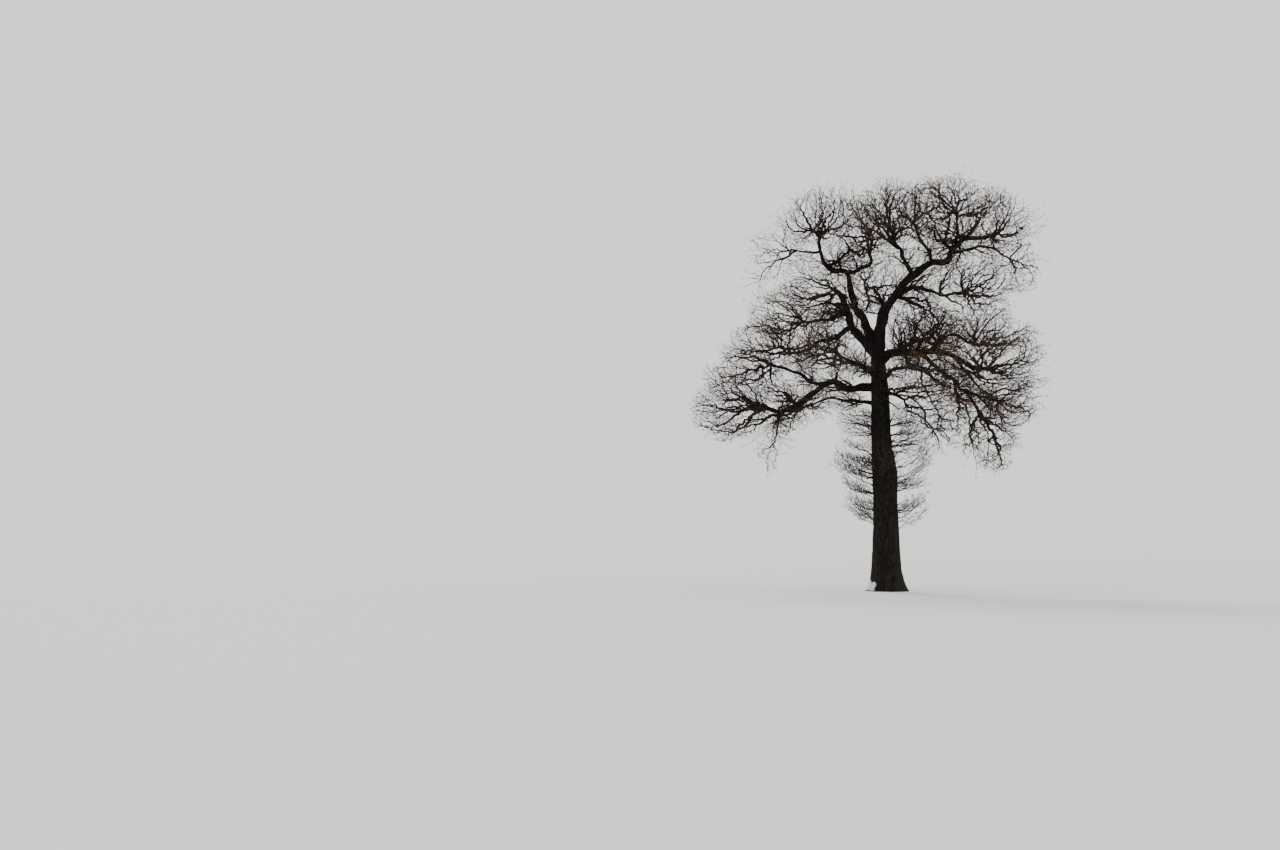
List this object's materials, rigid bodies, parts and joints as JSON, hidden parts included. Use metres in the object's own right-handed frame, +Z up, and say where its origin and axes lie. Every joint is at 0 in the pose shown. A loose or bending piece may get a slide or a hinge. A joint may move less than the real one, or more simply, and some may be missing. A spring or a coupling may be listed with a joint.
{
  "type": "bare winter tree",
  "caption": "Tall broadleaf tree in winter: flared trunk, crooked forked limbs, low spreading boughs and a wide rounded crown of bare twigs.",
  "frame": {"origin": "middle of the flat cut under the trunk, at ground level", "axes": "+Z up along the trunk, +X to the right and -Y towards the viewer as the picture shows the tree"},
  "size_m": [14.0019, 10.5746, 16.8739],
  "materials": {
    "bark": "rough",
    "twigs": "rough"
  },
  "bodies": {
    "root": {"trunk": "bark", "limb_left": "bark", "limb_middle": "bark", "limb_right": "bark", "bough_arch": "bark", "bough_back_left": "bark", "bough_back_right": "bark", "bough_centre": "bark", "bough_drooping": "bark", "bough_far_left": "bark", "bough_far_right": "bark", "bough_fork_left": "bark", "bough_front_left": "bark", "bough_front_right": "bark", "bough_hanging": "bark", "bough_low_left": "bark", "bough_low_right": "bark", "bough_ray_left": "bark", "bough_right_long": "bark", "bough_right_middle": "bark", "bough_shelf_left": "bark", "bough_straight": "bark", "bough_thin_left": "bark", "bough_top_centre": "bark", "bough_top_middle": "bark", "bough_top_right": "bark", "twigs_back_left": "twigs", "twigs_centre_back": "twigs", "twigs_far_left": "twigs", "twigs_far_right": "twigs", "twigs_front_left": "twigs", "twigs_front_right": "twigs", "twigs_left_crest": "twigs", "twigs_left_hanging": "twigs", "twigs_left_low": "twigs", "twigs_left_ray": "twigs", "twigs_left_shelf": "twigs", "twigs_left_under": "twigs", "twigs_left_upper": "twigs", "twigs_right_arch": "twigs", "twigs_right_back": "twigs", "twigs_right_crest": "twigs", "twigs_right_drooping": "twigs", "twigs_right_inner": "twigs", "twigs_right_long": "twigs", "twigs_right_low": "twigs", "twigs_right_middle": "twigs", "twigs_shoots_back": "twigs", "twigs_shoots_front": "twigs", "twigs_shoots_left_low": "twigs", "twigs_shoots_left_middle": "twigs", "twigs_shoots_left_upper": "twigs", "twigs_shoots_right_low": "twigs", "twigs_shoots_right_middle": "twigs", "twigs_shoots_right_upper": "twigs", "twigs_top_centre": "twigs", "twigs_top_crest": "twigs", "twigs_top_left": "twigs", "twigs_top_middle": "twigs", "twigs_top_right": "twigs"}
  },
  "joints": []
}
